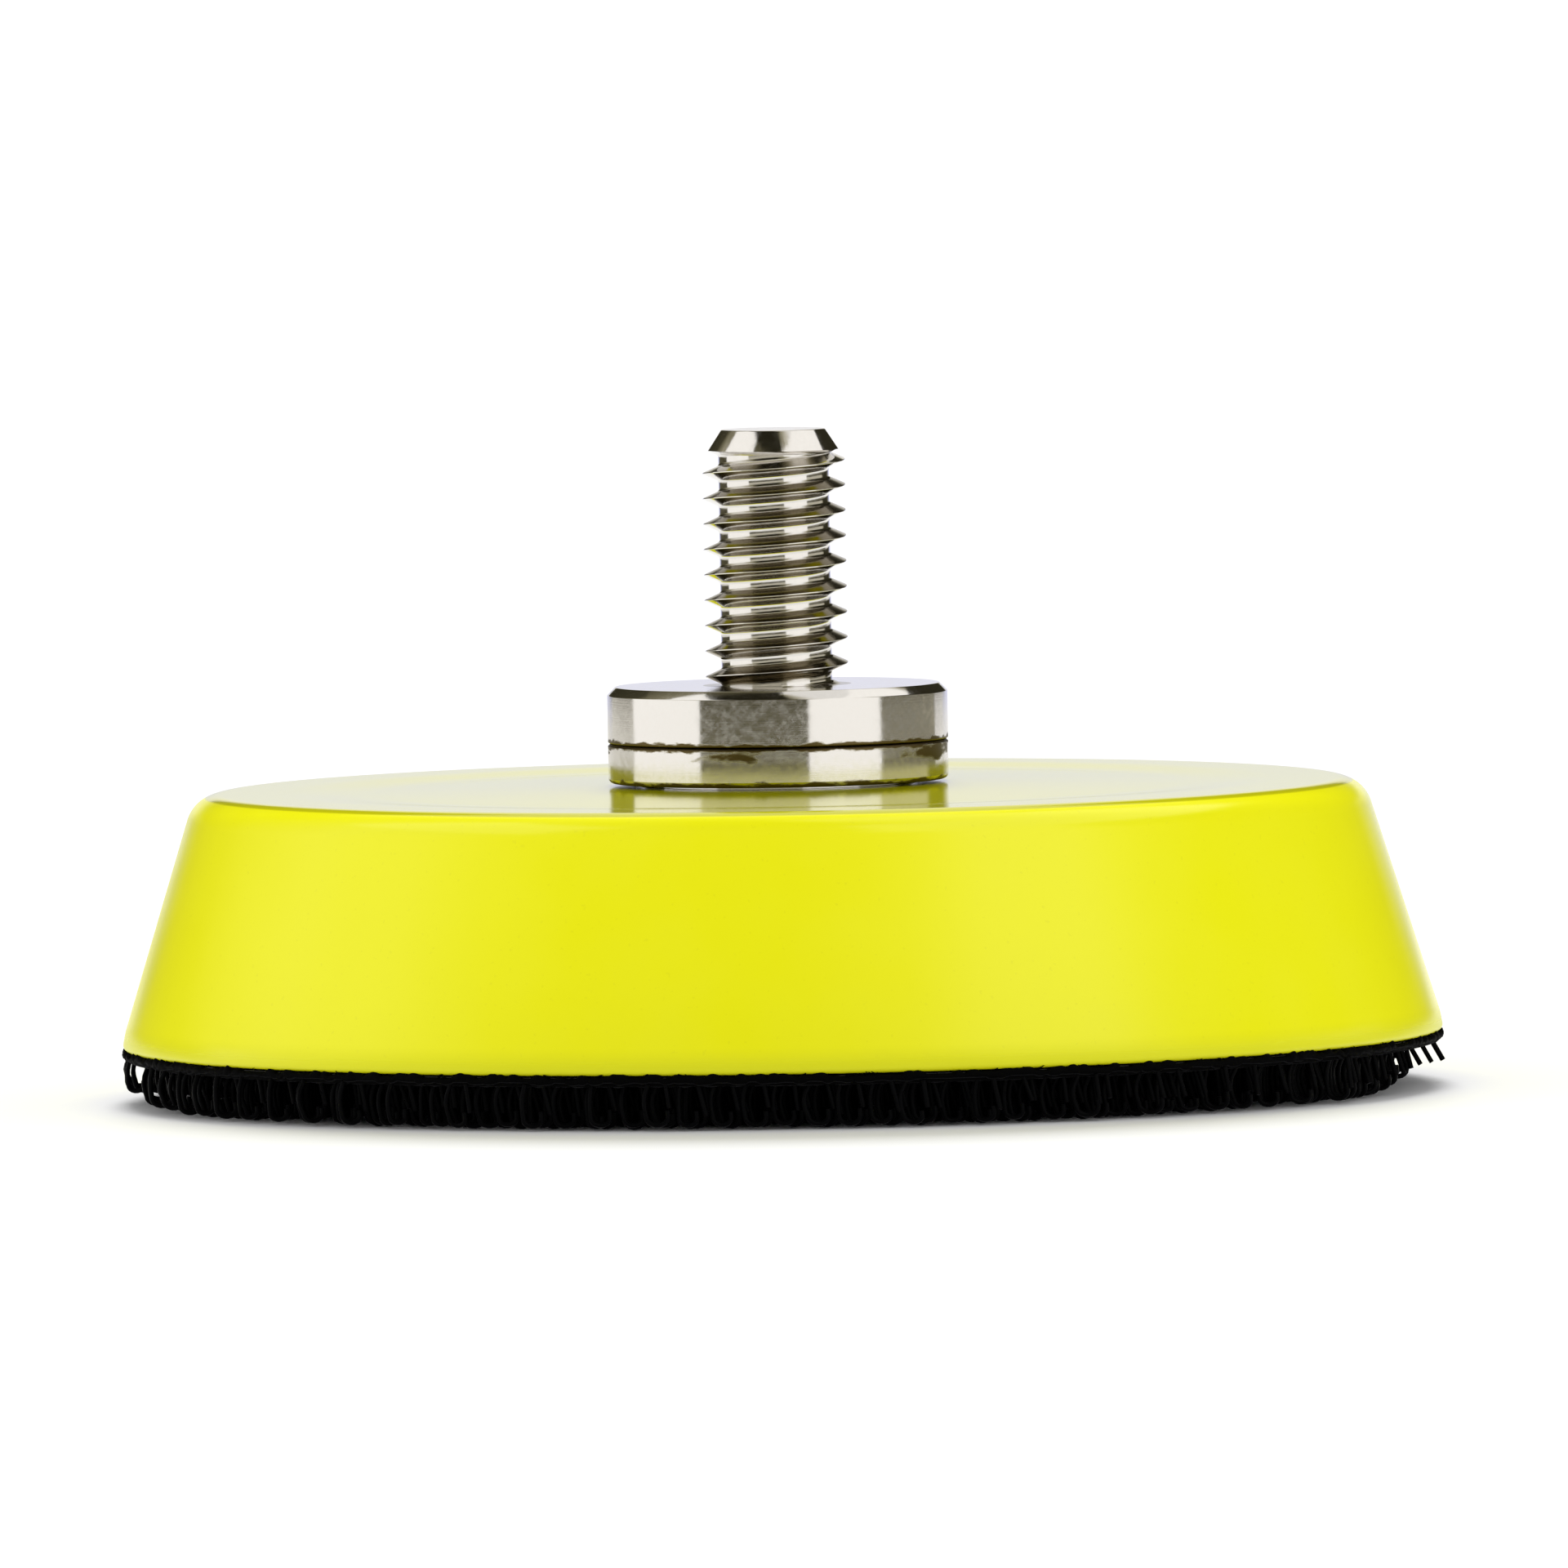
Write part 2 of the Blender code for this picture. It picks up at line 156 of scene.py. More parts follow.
# Hooks: rows of loops, each cut into a hook and a straight leg.
PILE_RADIUS = TAPE_RADIUS + 0.08 * MM
HOOK_PITCH = 1.75 * MM
ROW_PITCH = 1.05 * MM
HOOK_RADIUS = 0.14 * MM
HOOK_SPAN = 1.05 * MM
HOOK_BELLY = 0.14 * MM
ROOT_DEPTH = 0.2 * MM
LEG_OFFSET = 1.05 * HOOK_SPAN
MIDDLE_ROWS = 2.4 * MM
SHORT_ROWS = 1.2 * MM
RIM_START = 34.2 * MM
RIM_WEAR = 0.15 * MM
# Worn ends: side (1 is +X), how far inside the rim the wear starts, over what length it grows, and its depth.
WORN_ENDS = (
    (1, 4.4 * MM, 2.6 * MM, 0.9 * MM),
    (-1, 6.0 * MM, 5.0 * MM, 0.3 * MM),
    (-1, 1.6 * MM, 1.0 * MM, 0.4 * MM),
)
FRAYED_END = 2.5 * MM
STEM_COUNT = 3
STEM_INSET = 1.75 * MM
STEM_STEP = 0.68 * MM
STEM_LENGTH = 1.3 * MM
STEM_SHORTENING = 0.06 * MM
STEM_SLOPE = 0.56

# What reflections see, as (azimuth in degrees, brightness) stops in bands that each reach up to an elevation.
# Azimuth 0 is the camera's side and 90 is +X. Two stops a degree apart are a panel's edge.
PANEL = 1.25
TABLE = [(-160, 0.85), (-114, 0.85), (-113, PANEL), (-54, PANEL), (-53, 0.24), (20, 0.24), (21, PANEL)]
TABLE += [(73, PANEL), (74, 0.55), (132, 0.55), (133, 0.95)]
NEAR = [(azimuth, 0.15 if level < 0.6 else level) for azimuth, level in TABLE]
HORIZON = [(-163, 0.95), (-157, 0.3), (-150, 0.1), (-115, 0.08), (-114, PANEL), (-54, PANEL), (-53, 0.02)]
HORIZON += [(20, 0.02), (21, PANEL), (72, PANEL), (73, 0.04), (146, 0.04), (152, 0.15), (158, 0.6)]
HORIZON += [(163, 0.95)]
GLANCE = [(-163, 0.95), (-157, 0.3), (-150, 0.1), (-115, 0.08), (-114, PANEL), (-54, PANEL), (-53, 0.62)]
GLANCE += [(20, 0.62), (21, PANEL), (72, PANEL), (73, 0.6), (118, 0.6), (124, 0.04), (146, 0.04), (158, 0.6)]
GLANCE += [(163, 0.95)]
UPPER = [(-171, 0.9), (-168, 0.03), (-135, 0.06), (-116, 0.42), (-98, 0.85), (-74, 0.85), (-53, 0.33)]
UPPER += [(-38, 0.02), (6, 0.02), (22, 0.3), (38, 1.2), (57, 1.2), (75, 0.2), (88, 0.03), (168, 0.03)]
UPPER += [(171, 0.9)]
TOP = [(-165, 0.9), (-140, 0.1), (-114, 0.3), (-113, PANEL), (-54, PANEL), (-53, 0.12), (20, 0.12)]
TOP += [(21, PANEL), (132, PANEL), (140, 0.1), (165, 0.9)]
ZENITH = [(-165, 0.3), (-90, 0.02), (20, 0.02), (60, 1.0), (130, 1.0), (165, 0.3)]
BANDS = [(1.5, NEAR), (2.1, TABLE), (4.8, HORIZON), (11.0, GLANCE)]
BANDS += [(42.0, UPPER), (66.0, TOP), (88.0, ZENITH)]
BAND_BLEND = 0.2
DOME_RADIUS = 0.28
COOL_AZIMUTH = 150
COOL_ELEVATIONS = (2, 11)
COOL_TINT = (0.76, 0.78, 1.0)

# Floor, lamps and camera. A lamp is (name, azimuth, elevation, strength, softness), its angles in degrees.
FLOOR_RADIUS = 6.0
FLOOR_WHITE = (0.74, 0.74, 0.74, 1.0)
WORLD_BRIGHTNESS = 0.81
LAMPS = (("back_light", 180, 45, 2.7, 28), ("left_fill", -72, 10, 0.5, 40), ("right_fill", 72, 10, 0.5, 40))
CAMERA_DISTANCE = 1.75
CAMERA_ELEVATION = 2.64
CAMERA_ROLL = 0.95
VIEW_WIDTH = 87.1 * MM
AIM = Vector((0.29 * MM, 0.0, 17.2 * MM))

SEED = 7


# ---------------------------------------------------------------- mesh helpers


def new_object(name, mesh):
    obj = bpy.data.objects.new(name, mesh)
    bpy.context.scene.collection.objects.link(obj)
    return obj


def mesh_from(name, points, faces):
    mesh = bpy.data.meshes.new(name)
    mesh.from_pydata([tuple(point) for point in points], [], [tuple(face) for face in faces])
    mesh.update()
    return mesh


def dress(obj, material):
    obj.data.materials.clear()
    obj.data.materials.append(material)


def smooth(obj, sharp_degrees):
    obj.data.shade_smooth()
    obj.data.set_sharp_from_angle(angle=math.radians(sharp_degrees))


def baked(obj):
    """Replaces the object's mesh with its mesh after modifiers."""
    bpy.context.view_layer.update()
    graph = bpy.context.evaluated_depsgraph_get()
    mesh = bpy.data.meshes.new_from_object(obj.evaluated_get(graph))
    obj.modifiers.clear()
    obj.data = mesh


def polish(obj, sharp_degrees, flat_tops=False):
    """Smooth shading that keeps large faces true beside a narrow rounded edge. With flat_tops, the faces that
    look straight up are shaded flat."""
    smooth(obj, sharp_degrees)
    for polygon in obj.data.polygons:
        polygon.use_smooth = not (flat_tops and polygon.normal.z > 0.9999)
    weigh = obj.modifiers.new("weigh", "WEIGHTED_NORMAL")
    weigh.weight = 100
    weigh.keep_sharp = True
    baked(obj)


def face_outwards(obj):
    """Turns the faces of a closed mesh outwards."""
    work = bmesh.new()
    work.from_mesh(obj.data)
    bmesh.ops.recalc_face_normals(work, faces=work.faces)
    work.to_mesh(obj.data)
    work.free()


def rounded(before, corner, after, radius, segments=6):
    """Points of the arc that rounds an outline's corner."""
    before, corner, after = Vector(before), Vector(corner), Vector(after)
    to_before = (before - corner).normalized()
    to_after = (after - corner).normalized()
    half_angle = to_before.angle(to_after) / 2
    centre = corner + (to_before + to_after).normalized() * radius / math.sin(half_angle)
    start = corner + to_before * radius / math.tan(half_angle) - centre
    end = corner + to_after * radius / math.tan(half_angle) - centre
    sweep = start.angle(end)
    points = []
    for index in range(segments + 1):
        share = index / segments
        weight_start = math.sin((1 - share) * sweep) / math.sin(sweep)
        weight_end = math.sin(share * sweep) / math.sin(sweep)
        points.append(tuple(centre + start * weight_start + end * weight_end))
    return points


def soften(outline, radius, segments=3):
    """The outline with each corner off the axis rounded by radius, or by less where its sides are short."""
    points = [outline[0]]
    for before, corner, after in zip(outline, outline[1:], outline[2:]):
        reach = 0.45 * min((Vector(before) - Vector(corner)).length, (Vector(after) - Vector(corner)).length)
        turn = (Vector(corner) - Vector(before)).angle(Vector(after) - Vector(corner))
        if turn < math.radians(8) or corner[0] == 0:
            points.append(corner)
        else:
            points.extend(rounded(before, corner, after, min(radius, reach / math.tan(turn / 2)), segments))
    points.append(outline[-1])
    return points


def turned(name, outline, steps):
    """A solid of revolution from (radius, height) pairs that start and end on the axis."""
    points = []
    rings = []
    for radius, height in outline:
        count = 1 if radius == 0 else steps
        rings.append(range(len(points), len(points) + count))
        for step in range(count):
            angle = FULL_TURN * step / steps
            points.append((radius * math.cos(angle), radius * math.sin(angle), height))
    faces = []
    for upper, lower in zip(rings, rings[1:]):
        for step in range(steps):
            nxt = (step + 1) % steps
            corners = [upper[step % len(upper)], upper[nxt % len(upper)]]
            corners += [lower[nxt % len(lower)], lower[step % len(lower)]]
            unique = list(dict.fromkeys(corners))
            if len(unique) > 2:
                faces.append(unique)
    obj = new_object(name, mesh_from(name, points, faces))
    face_outwards(obj)
    return obj


def combine(obj, other, operation):
    """Cuts, joins or intersects obj with other, and removes other."""
    boolean = obj.modifiers.new("combine", "BOOLEAN")
    boolean.operation = operation
    boolean.solver = "EXACT"
    boolean.object = other
    baked(obj)
    bpy.data.objects.remove(other, do_unlink=True)


def posts(name, count, circle_radius, radius, bottom, top):
    """Upright round posts in a ring, as one mesh."""
    work = bmesh.new()
    for index in range(count):
        angle = FULL_TURN * index / count
        place = Vector((circle_radius * math.cos(angle), circle_radius * math.sin(angle), (top + bottom) / 2))
        bmesh.ops.create_cone(
            work,
            cap_ends=True,
            segments=32,
            radius1=radius,
            radius2=radius,
            depth=top - bottom,
            matrix=Matrix.Translation(place),
        )
    mesh = bpy.data.meshes.new(name)
    work.to_mesh(mesh)
    work.free()
    return new_object(name, mesh)


# ---------------------------------------------------------------- material helpers


def grey(level):
    return (level, level, level)


class Nodes:
    """A short way to write a material's node tree."""

    def __init__(self, name, **sockets):
        self.material = bpy.data.materials.new(name)
        self.material.use_nodes = True
        self.tree = self.material.node_tree
        self.shader = self.tree.nodes["Principled BSDF"]
        self.place = self.add("ShaderNodeTexCoord").outputs["Object"]
        for socket, value in sockets.items():
            self.shader.inputs[socket.replace("_", " ")].default_value = value

    def add(self, kind, **settings):
        node = self.tree.nodes.new(kind)
        for key, value in settings.items():
            setattr(node, key, value)
        return node

    def feed(self, socket, value):
        if isinstance(value, bpy.types.NodeSocket):
            self.tree.links.new(value, socket)
        else:
            socket.default_value = value

    def math(self, operation, *values):
        node = self.add("ShaderNodeMath", operation=operation)
        for socket, value in zip(node.inputs, values):
            self.feed(socket, value)
        return node.outputs[0]

    def axis(self, index):
        """One of the object's coordinates."""
        parts = self.add("ShaderNodeSeparateXYZ")
        self.feed(parts.inputs[0], self.place)
        return parts.outputs[index]

    def between(self, value, low, high):
        """0 below low, 1 above high, and a smooth step between them."""
        node = self.add("ShaderNodeMapRange", interpolation_type="SMOOTHSTEP")
        self.feed(node.inputs[0], value)
        node.inputs[1].default_value = low
        node.inputs[2].default_value = high
        return node.outputs[0]

    def noise(self, scale, vector=None, detail=3.0, roughness=0.5):
        node = self.add("ShaderNodeTexNoise")
        self.feed(node.inputs["Vector"], vector or self.place)
        node.inputs["Scale"].default_value = scale
        node.inputs["Detail"].default_value = detail
        node.inputs["Roughness"].default_value = roughness
        return node.outputs["Fac"]

    def stretched(self, x, y, z):
        """The object's coordinates, scaled along each axis."""
        node = self.add("ShaderNodeVectorMath", operation="MULTIPLY")
        self.feed(node.inputs[0], self.place)
        node.inputs[1].default_value = (x, y, z)
        return node.outputs[0]

    def distance(self, point, weights):
        """Distance from a point, with each axis scaled by its weight."""
        node = self.add("ShaderNodeVectorMath", operation="DISTANCE")
        self.feed(node.inputs[0], self.stretched(*weights))
        node.inputs[1].default_value = [weight * part for weight, part in zip(weights, point)]
        return node.outputs["Value"]

    def greatest(self, values):
        most = values[0]
        for value in values[1:]:
            most = self.math("MAXIMUM", most, value)
        return most

    def radius(self):
        """Distance from the hub's axis."""
        squares = [self.math("POWER", self.axis(index), 2.0) for index in (0, 1)]
        return self.math("SQRT", self.math("ADD", *squares))

    def facing(self):
        """How far the surface looks up: 1 on a face that looks straight up, -1 on one that looks down."""
        parts = self.add("ShaderNodeSeparateXYZ")
        self.feed(parts.inputs[0], self.add("ShaderNodeTexCoord").outputs["Normal"])
        return parts.outputs[2]

    def around_axis(self, radial, upward):
        """A vector that changes only with the distance from the axis and the height, for turning marks."""
        joined = self.add("ShaderNodeCombineXYZ")
        self.feed(joined.inputs[0], self.math("MULTIPLY", self.radius(), radial))
        self.feed(joined.inputs[2], self.math("MULTIPLY", self.axis(2), upward))
        return joined.outputs[0]

    def ramp(self, factor, *stops):
        """Colours or greys between the stops, which are (position, value) pairs."""
        node = self.add("ShaderNodeValToRGB")
        self.feed(node.inputs[0], factor)
        elements = node.color_ramp.elements
        while len(elements) < len(stops):
            elements.new(0.5)
        for element, (position, value) in zip(elements, stops):
            element.position = position
            element.color = (*value, 1.0) if isinstance(value, tuple) else (value, value, value, 1.0)
        return node.outputs[0]

    def mix(self, factor, first, second, blend="MIX"):
        node = self.add("ShaderNodeMix", data_type="RGBA", blend_type=blend)
        self.feed(node.inputs[0], factor)
        self.feed(node.inputs[6], first if isinstance(first, bpy.types.NodeSocket) else (*first, 1.0))
        self.feed(node.inputs[7], second if isinstance(second, bpy.types.NodeSocket) else (*second, 1.0))
        return node.outputs[2]

    def bump(self, *layers):
        """Chained bumps. Each layer is (height, depth in metres), the coarsest first."""
        normal = None
        for height, depth in layers:
            node = self.add("ShaderNodeBump")
            node.inputs["Strength"].default_value = 1.0
            node.inputs["Distance"].default_value = depth
            self.feed(node.inputs["Height"], height)
            if normal:
                self.feed(node.inputs["Normal"], normal)
            normal = node.outputs[0]
        self.feed(self.shader.inputs["Normal"], normal)

    def set(self, socket, value):
        self.feed(self.shader.inputs[socket], value)


def upper_flank_shade(look):
    """The upper flanks of the exposed thread, below the tip's chamfer, where a dark olive shade is painted.
    """
    thread_top = STUD_TOP - TIP_CHAMFER
    on_thread = look.between(look.radius(), THREAD_RADIUS + 0.2 * MM, THREAD_RADIUS + 0.1 * MM)
    below_tip = look.between(look.axis(2), thread_top, thread_top - MM)
    upward = look.between(look.facing(), 0.45, 0.8)
    return look.math("MULTIPLY", look.math("MULTIPLY", on_thread, below_tip), upward)


def hub_marks_and_foot_shadow(look):
    """Ragged dark brown marks along the seam and as patches on the ring, and a painted contact shadow at the
    ring's foot.
    """
    ragged = look.math("MULTIPLY", look.noise(1.0, look.stretched(900, 900, 2600), detail=4.0), 0.7 * MM)
    dark_marks = []
    # The band at the ring's foot height is painted contact shadow where the ring meets the body; the one at
    # the seam is a ragged dark brown band.
    for height in ((COLLAR_SEAT + RING_TOP) / 2, RING_BOTTOM):
        away = look.math("ABSOLUTE", look.math("SUBTRACT", look.axis(2), height))
        dark_marks.append(look.between(look.math("SUBTRACT", ragged, away), 0.06 * MM, 0.2 * MM))
    for azimuth, size in ((64, 5.0 * MM), (-14, 3.0 * MM), (-84, 1.2 * MM)):
        turn = math.radians(azimuth)
        spot = (HUB_RADIUS * math.sin(turn), -HUB_RADIUS * math.cos(turn), RING_TOP - 0.45 * MM)
        torn = look.math("MULTIPLY", look.noise(1.0, look.stretched(500, 500, 1500), detail=5.0), 2 * size)
        reach = look.math("ADD", look.distance(spot, (1, 1, 5)), torn)
        dark_marks.append(look.between(reach, 1.7 * size, 1.3 * size))
    on_rim = look.between(look.radius(), HUB_RADIUS - 2 * MM, HUB_RADIUS - 1.2 * MM)
    return look.math("MULTIPLY", look.greatest(dark_marks), on_rim)


def polished_steel():
    look = Nodes("polished_steel", Metallic=1.0)
    turning = look.noise(1.0, look.around_axis(9000, 16000), detail=2.0)
    mottle = look.noise(2600, detail=4.0, roughness=0.65)
    flank_shade = upper_flank_shade(look)
    marks_and_foot_shadow = hub_marks_and_foot_shadow(look)
    metal = look.mix(mottle, (0.675, 0.65, 0.605), (0.745, 0.72, 0.68))
    # Painted shade: a dark olive tone on the thread's upward flanks.
    metal = look.mix(flank_shade, metal, (0.17, 0.14, 0.085))
    # Painted contact shadow at the ring's foot, mixed in with the ragged dark marks at the seam and on the
    # ring.
    look.set("Base Color", look.mix(marks_and_foot_shadow, metal, (0.13, 0.095, 0.045)))
    shine = look.ramp(mottle, (0.3, 0.06), (0.7, 0.15))
    shine = look.mix(flank_shade, shine, grey(0.16))
    look.set("Roughness", look.mix(marks_and_foot_shadow, shine, grey(0.4)))
    look.bump((mottle, 0.0012 * MM), (turning, 0.0006 * MM))
    return look.material


def yellow_polyurethane():
    """Glossy yellow with small specks, smoother on top and duller at the foot. The top and the foot are
    painted a darker yellow as shade.
    """
    look = Nodes("yellow_polyurethane", IOR=1.5)
    cloud = look.noise(160, detail=3.0)
    grain = look.noise(2400, detail=2.0)
    specks = look.ramp(look.noise(3800, detail=1.0), (0.70, 0.0), (0.76, 1.0))
    top_shade_and_gloss = look.between(look.axis(2), RIM - 0.25 * MM, RIM - 0.16 * MM)
    land_shade_and_dullness = look.between(look.axis(2), BODY_BOTTOM + 1.8 * LAND_HEIGHT, BODY_BOTTOM)
    colour = look.mix(cloud, (0.88, 0.855, 0.0008), (0.90, 0.88, 0.0012))
    colour = look.mix(look.math("MULTIPLY", specks, 0.12), colour, (0.58, 0.54, 0.01))
    # Painted shade: the top is a darker yellow to offset the light that falls on it from above and behind.
    colour = look.mix(top_shade_and_gloss, colour, (0.53, 0.515, 0.0008))
    # Painted shade: the land near the floor is a darker, greener yellow. Its lower specular level and higher
    # roughness are the real duller finish.
    look.set("Base Color", look.mix(land_shade_and_dullness, colour, (0.72, 0.72, 0.003)))
    look.set("Specular IOR Level", look.mix(land_shade_and_dullness, grey(0.5), grey(0.25)))
    shine = look.ramp(cloud, (0.35, 0.16), (0.65, 0.22))
    shine = look.mix(land_shade_and_dullness, shine, grey(0.32))
    look.set("Roughness", look.mix(top_shade_and_gloss, shine, grey(0.11)))
    look.bump((cloud, 0.008 * MM), (grain, 0.0012 * MM))
    return look.material


def painted_light_from_below(look):
    """Faces that look down, painted a lighter grey so that the black underside shows."""
    return look.between(look.facing(), -0.75, -0.98)


def black_nylon():
    look = Nodes("black_nylon", IOR=1.5, Specular_IOR_Level=0.03)
    along = look.noise(3000, detail=2.0)
    black = look.mix(along, (0.001, 0.001, 0.0012), (0.0028, 0.0028, 0.0032))
    # Painted light: faces that look down are a lighter grey.
    look.set("Base Color", look.mix(painted_light_from_below(look), black, (0.045, 0.045, 0.048)))
    look.set("Roughness", look.ramp(along, (0.3, 0.25), (0.7, 0.4)))
    look.bump((along, 0.004 * MM))
    return look.material


def black_weave():
    look = Nodes("black_weave", IOR=1.5, Specular_IOR_Level=0.02)
    fibres = look.noise(1.0, look.stretched(9000, 1500, 4000), detail=3.0)
    black = look.mix(fibres, grey(0.0008), grey(0.0022))
    # Painted light: faces that look down are a lighter grey.
    look.set("Base Color", look.mix(painted_light_from_below(look), black, (0.02, 0.02, 0.022)))
    look.set("Roughness", look.ramp(fibres, (0.3, 0.55), (0.7, 0.8)))
    look.bump((fibres, 0.02 * MM))
    return look.material


def glass_laminate():
    """Glass cloth in green-grey resin, with a weave about 2 mm wide."""
    look = Nodes("glass_laminate", IOR=1.52)
    radians_per_metre = 3200.0
    warp = look.math("SINE", look.math("MULTIPLY", look.axis(0), radians_per_metre))
    weft = look.math("SINE", look.math("MULTIPLY", look.axis(1), radians_per_metre))
    weave = look.math("MULTIPLY", warp, weft)
    cloud = look.noise(350)
    colour = look.mix(look.math("MULTIPLY_ADD", weave, 0.25, 0.5), (0.20, 0.24, 0.13), (0.36, 0.38, 0.24))
    look.set("Base Color", look.mix(look.math("MULTIPLY", cloud, 0.4), colour, (0.28, 0.26, 0.15)))
    look.set("Roughness", look.ramp(cloud, (0.3, 0.4), (0.7, 0.6)))
    look.bump((weave, 0.01 * MM))
    return look.material


def rivet_steel():
    """Zinc plate with its crystals."""
    look = Nodes("rivet_steel", Metallic=1.0)
    crystals = look.noise(1800, detail=4.0)
    look.set("Base Color", look.mix(crystals, (0.50, 0.51, 0.53), (0.66, 0.67, 0.68)))
    look.set("Roughness", look.ramp(crystals, (0.3, 0.25), (0.7, 0.45)))
    look.bump((crystals, 0.004 * MM))
    return look.material


def cured_adhesive():
    look = Nodes("cured_adhesive", IOR=1.48)
    blotch = look.noise(700)
    look.set("Base Color", look.mix(blotch, (0.008, 0.008, 0.007), (0.02, 0.019, 0.017)))
    look.set("Roughness", look.ramp(blotch, (0.3, 0.3), (0.7, 0.55)))
    look.bump((blotch, 0.01 * MM))
    return look.material


# ---------------------------------------------------------------- hub


def helical_thread(bottom, top, steps=96):
    """A closed right-hand helical body with sharp crests and rounded roots."""
    flank = (1 - THREAD_CREST - THREAD_ROOT) / 2 * THREAD_PITCH
    crest = THREAD_CREST * THREAD_PITCH
    root_radius = THREAD_RADIUS - THREAD_DEPTH
    half_root = THREAD_ROOT * THREAD_PITCH / 2
    outline = [
        (root_radius, -flank - crest / 2 - half_root),
        (root_radius, -flank - crest / 2),
        (THREAD_RADIUS, -crest / 2),
        (THREAD_RADIUS, crest / 2),
        (root_radius, flank + crest / 2),
        (root_radius, flank + crest / 2 + half_root),
    ]
    profile = [outline[0]]
    for index, radius in ((1, ROOT_FILLET), (2, CREST_FILLET), (3, CREST_FILLET), (4, ROOT_FILLET)):
        profile.extend(rounded(outline[index - 1], outline[index], outline[index + 1], radius, 4))
    profile.append(outline[-1])
    turns = math.ceil((top - bottom) / THREAD_PITCH) + 6
    crest_height = STUD_TOP - LEFT_CREST_DEPTH
    start_turn = math.floor((bottom - crest_height) / THREAD_PITCH) - 2
    points = []
    for step in range(turns * steps + 1):
        angle = math.pi + FULL_TURN * step / steps
        rise = crest_height + THREAD_PITCH * (start_turn + step / steps)
        for radius, height in profile:
            points.append((radius * math.cos(angle), radius * math.sin(angle), rise + height))
    count = len(profile)
    faces = []
    for step in range(turns * steps):
        for index in range(count - 1):
            low = step * count + index
            faces.append((low, low + count, low + count + 1, low + 1))
    obj = new_object("thread_form", mesh_from("thread_form", points, faces))
    work = bmesh.new()
    work.from_mesh(obj.data)
    bmesh.ops.remove_doubles(work, verts=work.verts, dist=0.001 * MM)
    rim = [edge for edge in work.edges if edge.is_boundary]
    middle = (points[0][2] + points[-1][2]) / 2
    for above in (False, True):
        ring = [edge for edge in rim if (edge.verts[0].co.z > middle) == above]
        heights = [vert.co.z for edge in ring for vert in edge.verts]
        tip = work.verts.new((0, 0, max(heights) if above else min(heights)))
        for edge in ring:
            work.faces.new((edge.verts[0], edge.verts[1], tip))
    bmesh.ops.recalc_face_normals(work, faces=work.faces)
    work.to_mesh(obj.data)
    work.free()
    return obj


def stud_and_collar(material):
    """The stud: a thread cut from a chamfered rod, in one piece with the collar and the buried shank."""
    rod_radius = THREAD_RADIUS + CLEARANCE
    below = COLLAR_TOP - MM
    tip = (TIP_FLAT_RADIUS, STUD_TOP)
    chamfer_end = (THREAD_RADIUS, STUD_TOP - TIP_CHAMFER)
    slope = (THREAD_RADIUS - TIP_FLAT_RADIUS) / TIP_CHAMFER
    rod = [
        (0, STUD_TOP),
        *rounded((0, STUD_TOP), tip, chamfer_end, TIP_EDGE_FILLET, 4),
        (rod_radius, STUD_TOP - (rod_radius - TIP_FLAT_RADIUS) / slope),
        (rod_radius, below),
        (0, below),
    ]
    stud = turned("stud_and_collar", rod, 96)
    thread = helical_thread(below, STUD_TOP)
    run_out_end = STUD_TOP - 0.85 * TIP_CHAMFER
    run_out = [
        (0, STUD_TOP + MM),
        (rod_radius + MM, STUD_TOP + MM),
        (rod_radius + MM, STUD_TOP - 0.3 * TIP_CHAMFER),
        (THREAD_RADIUS - 1.1 * THREAD_DEPTH, run_out_end),
        (0, run_out_end),
    ]
    combine(thread, turned("run_out", run_out, 96), "UNION")
    combine(stud, thread, "INTERSECT")
    collar = [
        (0, COLLAR_TOP),
        (HUB_RADIUS - COLLAR_CHAMFER, COLLAR_TOP),
        (HUB_RADIUS, COLLAR_TOP - COLLAR_CHAMFER),
        (HUB_RADIUS, COLLAR_SEAT + SEAM_CHAMFER),
        (HUB_RADIUS - SEAM_CHAMFER, COLLAR_SEAT),
        (THREAD_RADIUS, COLLAR_SEAT),
        (THREAD_RADIUS, SHANK_BOTTOM + SHANK_CHAMFER),
        (THREAD_RADIUS - SHANK_CHAMFER, SHANK_BOTTOM),
        (0, SHANK_BOTTOM),
    ]
    combine(stud, turned("collar", soften(collar, EDGE_BREAK), 192), "UNION")
    polish(stud, 28, flat_tops=True)
    dress(stud, material)
    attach(stud, "hub")
    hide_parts("threaded_stud")


